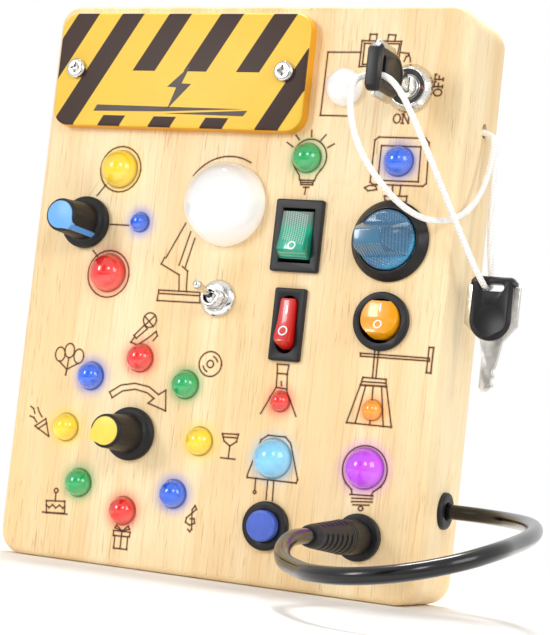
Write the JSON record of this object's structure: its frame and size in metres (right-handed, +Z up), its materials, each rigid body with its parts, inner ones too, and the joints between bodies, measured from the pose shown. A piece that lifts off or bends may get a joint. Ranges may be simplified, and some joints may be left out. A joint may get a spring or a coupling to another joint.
{
  "type": "busy board",
  "caption": "Upright wooden activity board with lamps, knobs, rocker switches, a toggle, a push button, a key switch and a jack lead.",
  "frame": {"origin": "centre of the flat bottom face that the board stands on", "axes": "+X to the right seen from the front, +Z up, the front face looks along -Y"},
  "size_m": [0.2629, 0.1806, 0.241],
  "materials": {
    "pine": "clear-coated pine with vertical grain",
    "plywood": "sanded plywood",
    "zinc": "zinc plated",
    "chrome": "polished",
    "sign_paint": "glossy yellow with dark slanting stripes",
    "mixed_lens": "glossy coloured lenses, one colour per lamp",
    "yellow_lens": "glossy lens",
    "red_lens": "glossy lens",
    "white_lens": "milky gloss",
    "light_blue_lens": "glossy lens",
    "purple_lens": "glossy lens",
    "green_lens": "glossy lens",
    "blue_lens": "glossy lens",
    "orange_lens": "glossy lens",
    "black_plastic": "satin moulded",
    "knob_black": "soft satin",
    "green_clear": "clear tinted",
    "red_plastic": "glossy",
    "amber_plastic": "glossy",
    "blue_clear": "clear tinted",
    "blue_plastic": "satin gloss",
    "cream_plastic": "satin gloss",
    "key_steel": "stamped plate",
    "black_rubber": "smooth jacket",
    "white_cord": "braided cord",
    "battery_sleeve": "shrink sleeve",
    "circuit_green": "solder mask",
    "nylon": "natural"
  },
  "bodies": {
    "board": {"board_shell": "pine", "back_panel": "plywood", "back_panel_screws": "zinc", "sign_plate": "sign_paint", "sign_screws": "chrome", "ring_lamps": "mixed_lens", "yellow_dome": "yellow_lens", "red_dome": "red_lens", "white_dome": "white_lens", "light_blue_dome": "light_blue_lens", "purple_dome": "purple_lens", "green_lamp": "green_lens", "blue_lamp": "blue_lens", "small_blue_lamp": "blue_lens", "small_red_lamp": "red_lens", "orange_lamp": "orange_lens", "big_dome": "white_lens", "pot_bodies": "zinc", "panel_nuts": "chrome", "toggle_body": "chrome", "green_rocker_frame": "black_plastic", "red_rocker_frame": "black_plastic", "round_rocker_frame": "black_plastic", "selector_body": "black_plastic", "button_body": "black_plastic", "button_spring": "zinc", "lock_body": "chrome", "dc_socket": "black_plastic", "cable": "black_rubber", "cable_grommet": "black_rubber", "key_cord": "white_cord", "cord_knot": "white_cord", "battery_tray": "black_plastic", "batteries": "battery_sleeve", "battery_contacts": "zinc", "circuit_board": "circuit_green", "circuit_board_standoffs": "nylon"},
    "pointer_knob": {"pointer_knob": "knob_black", "pointer_knob_cap": "blue_plastic", "pointer_pot_shaft": "nylon"},
    "ring_knob": {"ring_knob": "knob_black", "ring_knob_cap": "cream_plastic", "ring_pot_shaft": "nylon"},
    "toggle_lever": {"toggle_lever": "chrome"},
    "green_rocker": {"green_rocker": "green_clear"},
    "red_rocker": {"red_rocker": "red_plastic"},
    "round_rocker": {"round_rocker": "amber_plastic"},
    "selector_knob": {"selector_knob": "blue_clear"},
    "button_cap": {"button_cap": "blue_plastic"},
    "lock_plug": {"lock_plug": "chrome"},
    "key": {"key_blade": "key_steel", "key_bow": "black_plastic"},
    "spare_key": {"spare_key_blade": "key_steel", "spare_key_bow": "black_plastic"},
    "dc_plug": {"dc_plug": "black_plastic", "dc_plug_boot": "black_rubber"},
    "battery_door": {"battery_door": "black_plastic", "battery_door_screw": "zinc"}
  },
  "joints": [
    {"name": "pointer_knob_turn", "type": "hinge", "parent": "board", "child": "pointer_knob", "pos_m": [-0.0706, -0.021, 0.1445], "axis": [0, -1, 0], "range_deg": [-92, 178]},
    {"name": "ring_knob_turn", "type": "hinge", "parent": "board", "child": "ring_knob", "pos_m": [-0.037, -0.021, 0.056], "axis": [0, -1, 0], "range_deg": [-70, 245]},
    {"name": "toggle_flip", "type": "hinge", "parent": "board", "child": "toggle_lever", "pos_m": [-0.0035, -0.027, 0.1157], "axis": [1, 0, 0], "range_deg": [0, 26.8]},
    {"name": "green_rocker_tip", "type": "hinge", "parent": "board", "child": "green_rocker", "pos_m": [0.03, -0.018, 0.1437], "axis": [1, 0, 0], "range_deg": [0, 24]},
    {"name": "red_rocker_tip", "type": "hinge", "parent": "board", "child": "red_rocker", "pos_m": [0.03, -0.018, 0.107], "axis": [1, 0, 0], "range_deg": [0, 24]},
    {"name": "round_rocker_tip", "type": "hinge", "parent": "board", "child": "round_rocker", "pos_m": [0.0706, -0.018, 0.1112], "axis": [1, 0, 0], "range_deg": [0, 24]},
    {"name": "selector_turn", "type": "hinge", "parent": "board", "child": "selector_knob", "pos_m": [0.0706, -0.021, 0.1437], "axis": [0, -1, 0], "range_deg": [-90, 0]},
    {"name": "button_press", "type": "slide", "parent": "board", "child": "button_cap", "axis": [0, 1, 0], "range_m": [0, 0.0025], "stiffness_N_per_m": 300, "deforming": ["button_spring"]},
    {"name": "lock_turn", "type": "hinge", "parent": "board", "child": "lock_plug", "pos_m": [0.0722, -0.021, 0.206], "axis": [0, -1, 0], "range_deg": [0, 90], "deforming": ["key_cord"]},
    {"name": "key_pull", "type": "slide", "parent": "lock_plug", "child": "key", "axis": [0, -1, 0], "range_m": [0, 0.009], "deforming": ["key_cord"]},
    {"name": "spare_key_swing", "type": "hinge", "parent": "board", "child": "spare_key", "pos_m": [0.1121, -0.009, 0.1288], "axis": [0, -1, 0], "range_deg": [-12, 12], "deforming": ["key_cord"]},
    {"name": "plug_pull", "type": "slide", "parent": "board", "child": "dc_plug", "axis": [0, -1, 0], "range_m": [0, 0.01], "deforming": ["cable"]},
    {"name": "battery_door_open", "type": "hinge", "parent": "board", "child": "battery_door", "pos_m": [-0.035, 0.0195, 0.17655], "axis": [-1, 0, 0], "range_deg": [0, 95]}
  ]
}
